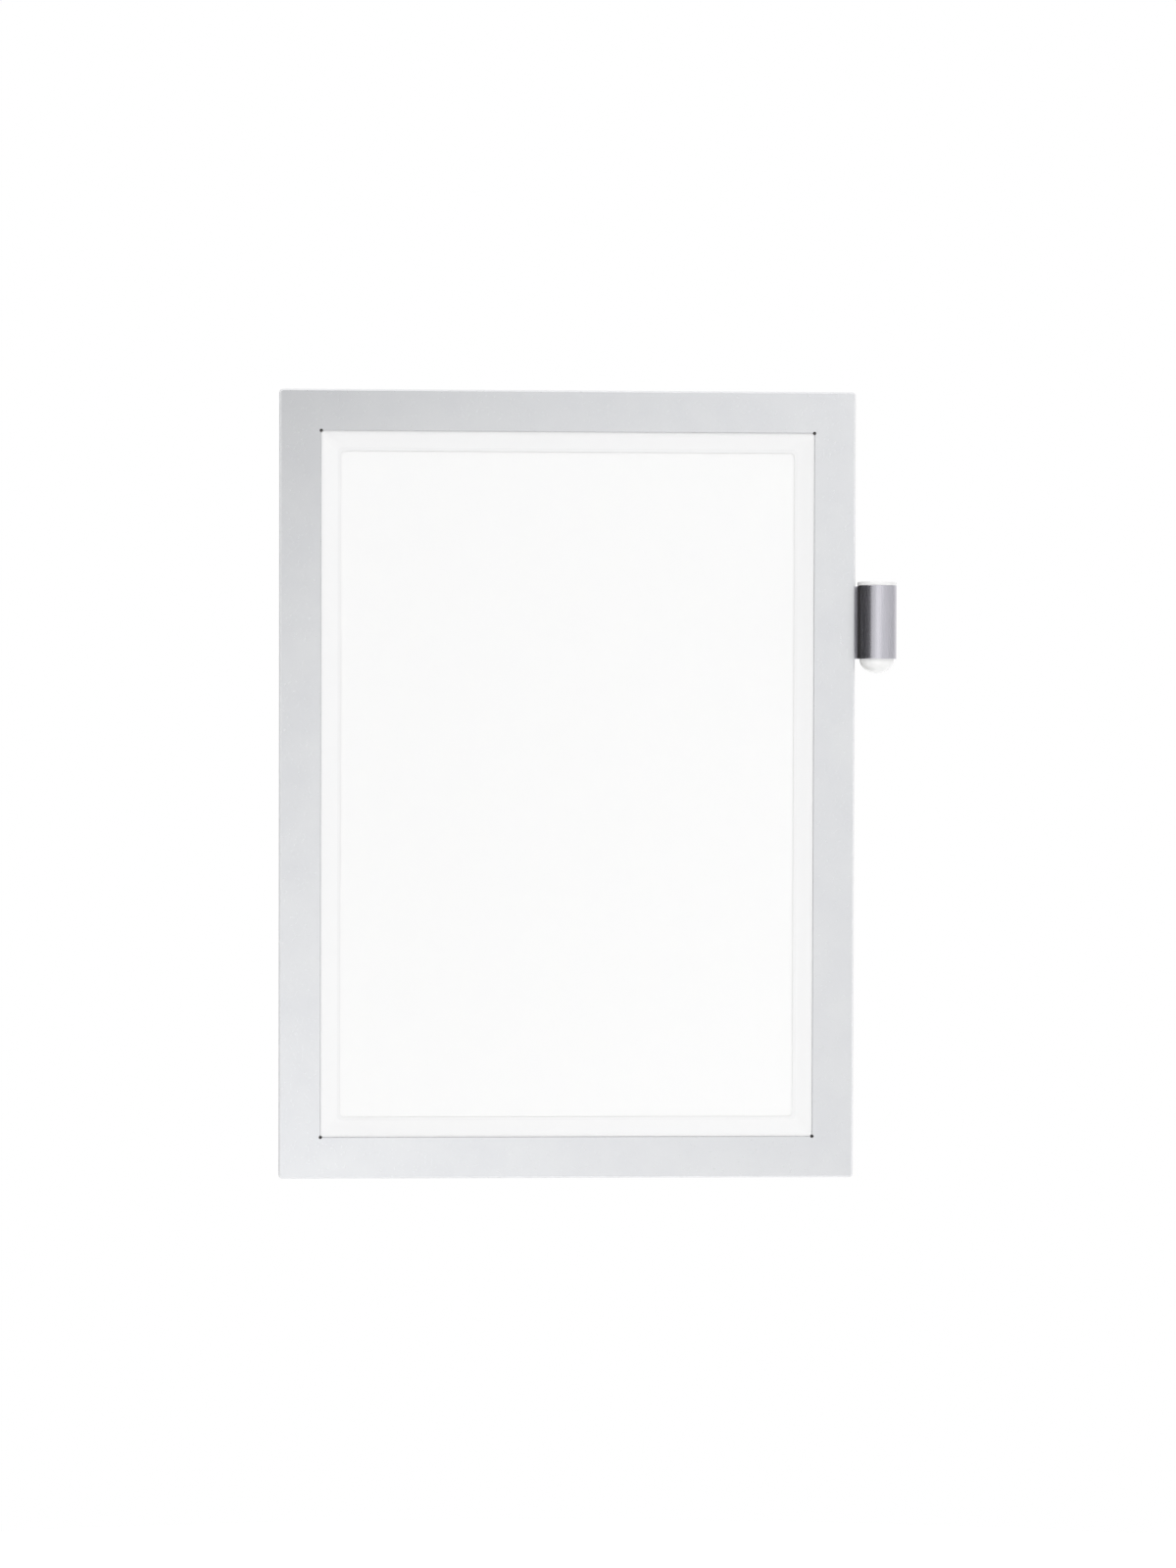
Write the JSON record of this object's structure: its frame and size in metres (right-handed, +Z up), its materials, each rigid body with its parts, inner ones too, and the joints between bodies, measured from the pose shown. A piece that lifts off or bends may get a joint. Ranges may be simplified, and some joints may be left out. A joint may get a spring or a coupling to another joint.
{
  "type": "magnetic document frame",
  "caption": "Slim A4 magnetic document frame with a silver hinged front, clear writing border, self-adhesive clear back and a rolled metal pen holder at its side.",
  "frame": {"origin": "middle of the rear adhesive face, on the wall plane", "axes": "+Z up, +X to the viewer's right, -Y out of the wall towards the viewer, +Y into the wall"},
  "size_m": [0.2523, 0.0171, 0.323],
  "materials": {
    "satin_silver": "satin metallic silver film on a plastic sheet",
    "hinge_film": "flexible silver film",
    "clear_film": "clear gloss film",
    "clear_panel": "clear gloss sheet",
    "clear_adhesive": "clear tacky film",
    "flexible_magnet": "matt bonded magnet strip",
    "white_paper": "smooth uncoated white paper",
    "brushed_steel": "brushed along the tube",
    "frosted_plastic": "translucent milky plastic"
  },
  "bodies": {
    "rear": {"rear_adhesive": "clear_adhesive", "rear_panel": "clear_panel", "hinge_leaf": "hinge_film", "rear_magnet_top": "flexible_magnet", "rear_magnet_bottom": "flexible_magnet", "rear_magnet_left": "flexible_magnet", "rear_magnet_right_upper": "flexible_magnet", "rear_magnet_right_lower": "flexible_magnet", "document_sheet": "white_paper", "pen_sleeve": "brushed_steel", "pen_cup": "frosted_plastic"},
    "front": {"front_frame": "satin_silver", "window_film": "clear_film", "front_magnet_top": "flexible_magnet", "front_magnet_bottom": "flexible_magnet", "front_magnet_left": "flexible_magnet", "front_magnet_right": "flexible_magnet"}
  },
  "joints": [
    {"name": "front_hinge", "type": "hinge", "parent": "rear", "child": "front", "pos_m": [-0.11815, -0.00195, 0], "axis": [0, 0, -1], "range_deg": [0, 180]}
  ]
}
